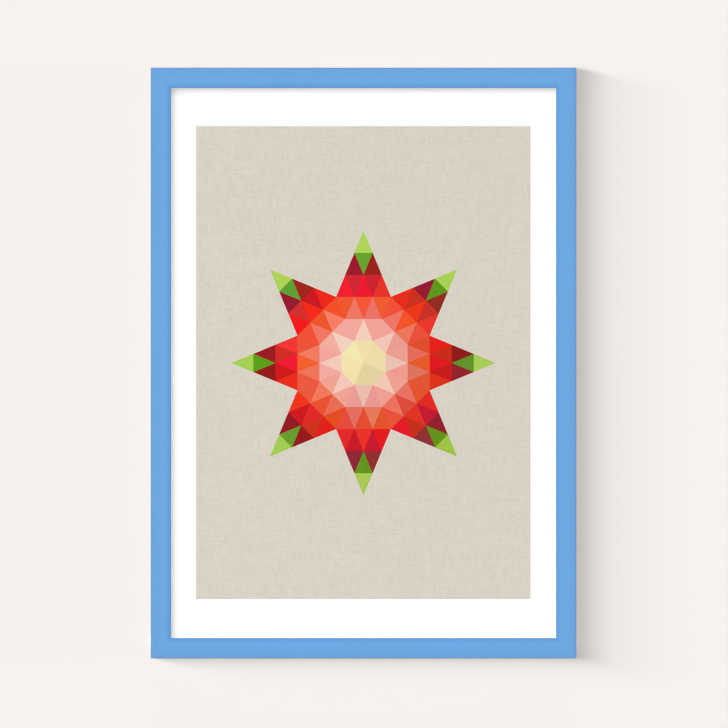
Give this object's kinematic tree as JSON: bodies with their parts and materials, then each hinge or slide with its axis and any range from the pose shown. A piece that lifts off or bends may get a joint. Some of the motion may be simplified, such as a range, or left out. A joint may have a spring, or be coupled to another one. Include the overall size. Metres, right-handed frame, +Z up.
{
  "type": "framed print",
  "caption": "Portrait picture frame of narrow mitred wood rails painted blue, holding a print behind glass with a back board, bendable tabs and a sawtooth hanger.",
  "frame": {"origin": "the point where the wall nail bears: the top of the hanger's middle notch, in the plane of the wall", "axes": "+Z up, along the long side; +Y into the wall, so the picture faces -Y; +X to the right as the picture is seen"},
  "size_m": [0.317, 0.0225, 0.44],
  "materials": {
    "blue_paint": "satin blue paint on wood, raw wood at the back and in the rabbet",
    "fastener_steel": "bright drawn steel",
    "tab_steel": "dark blued spring strip",
    "clear_glass": "clear float glass",
    "printed_paper": "matt white art paper with a printed oatmeal linen ground and a patchwork star in reds, pinks and greens",
    "hardboard": "brown hardboard, meshed on its outer face",
    "soft_pad": "milky soft plastic",
    "hanger_brass": "brass-plated strip"
  },
  "bodies": {
    "root": {"rail_left": "blue_paint", "rail_top": "blue_paint", "rail_right": "blue_paint", "rail_bottom": "blue_paint", "v_nail_top_left": "fastener_steel", "v_nail_top_right": "fastener_steel", "v_nail_bottom_right": "fastener_steel", "v_nail_bottom_left": "fastener_steel", "tab_left_1": "tab_steel", "tab_left_2": "tab_steel", "tab_left_3": "tab_steel", "tab_top_1": "tab_steel", "tab_top_2": "tab_steel", "tab_right_1": "tab_steel", "tab_right_2": "tab_steel", "tab_right_3": "tab_steel", "tab_bottom_1": "tab_steel", "tab_bottom_2": "tab_steel", "glazing": "clear_glass", "print": "printed_paper", "backing_board": "hardboard", "pad_left": "soft_pad", "pad_right": "soft_pad", "hanger": "hanger_brass", "hanger_pin_left": "fastener_steel", "hanger_pin_right": "fastener_steel"}
  },
  "joints": []
}
